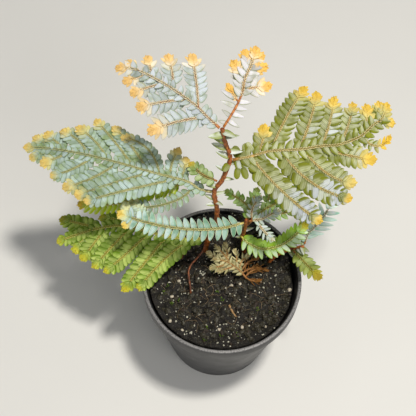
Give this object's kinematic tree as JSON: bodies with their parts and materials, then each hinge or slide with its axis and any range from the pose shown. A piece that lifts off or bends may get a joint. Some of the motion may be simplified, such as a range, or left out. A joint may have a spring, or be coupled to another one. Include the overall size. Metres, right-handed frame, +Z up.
{
  "type": "potted peacock spikemoss",
  "caption": "Round tapered nursery pot of soil with rust-brown stems, aerial roots and flat lacy spikemoss fronds spreading wide over the rim.",
  "frame": {"origin": "middle of the pot's flat underside", "axes": "+Z up out of the pot; +X to the right as seen from the front, along the longest spread of the fronds; the viewer stands towards -Y"},
  "size_m": [0.1745, 0.1081, 0.1652],
  "materials": {
    "pot_plastic": "dark nursery-pot plastic, satin, with a paler worn lip",
    "potting_mix": "moist dark peat and bark crumbs with grey glints and cream perlite",
    "stem": "rust-brown stem, faintly ribbed, half gloss",
    "aerial_root": "thin red-brown aerial root",
    "pale_blade": "pale blue-green iridescent leaflets with a green cast",
    "white_blade": "blue-white iridescent leaflets, peach-orange at the tips",
    "olive_blade": "olive yellow-green leaflets with pale upper faces and yellow tips",
    "teal_blade": "teal to blue-white iridescent leaflets, yellow at the tips",
    "green_blade": "fresh yellow-green leaflets",
    "leaf_green_blade": "mid green leaflets",
    "dry_blade": "dry cream and orange-brown leaflets"
  },
  "bodies": {
    "root": {"pot": "pot_plastic", "soil": "potting_mix", "main_stem": "stem", "second_stem": "stem", "side_stem": "stem", "front_root": "aerial_root", "left_root": "aerial_root", "frond_left": "pale_blade", "frond_left_low": "green_blade", "frond_small": "leaf_green_blade", "frond_upper_left": "white_blade", "frond_upper_right": "white_blade", "frond_right": "olive_blade", "frond_front": "teal_blade", "frond_centre": "teal_blade", "frond_back": "leaf_green_blade", "frond_curved": "green_blade", "frond_low_right": "leaf_green_blade", "frond_far_right": "pale_blade", "frond_low_left": "green_blade", "dry_tuft": "dry_blade"}
  },
  "joints": []
}
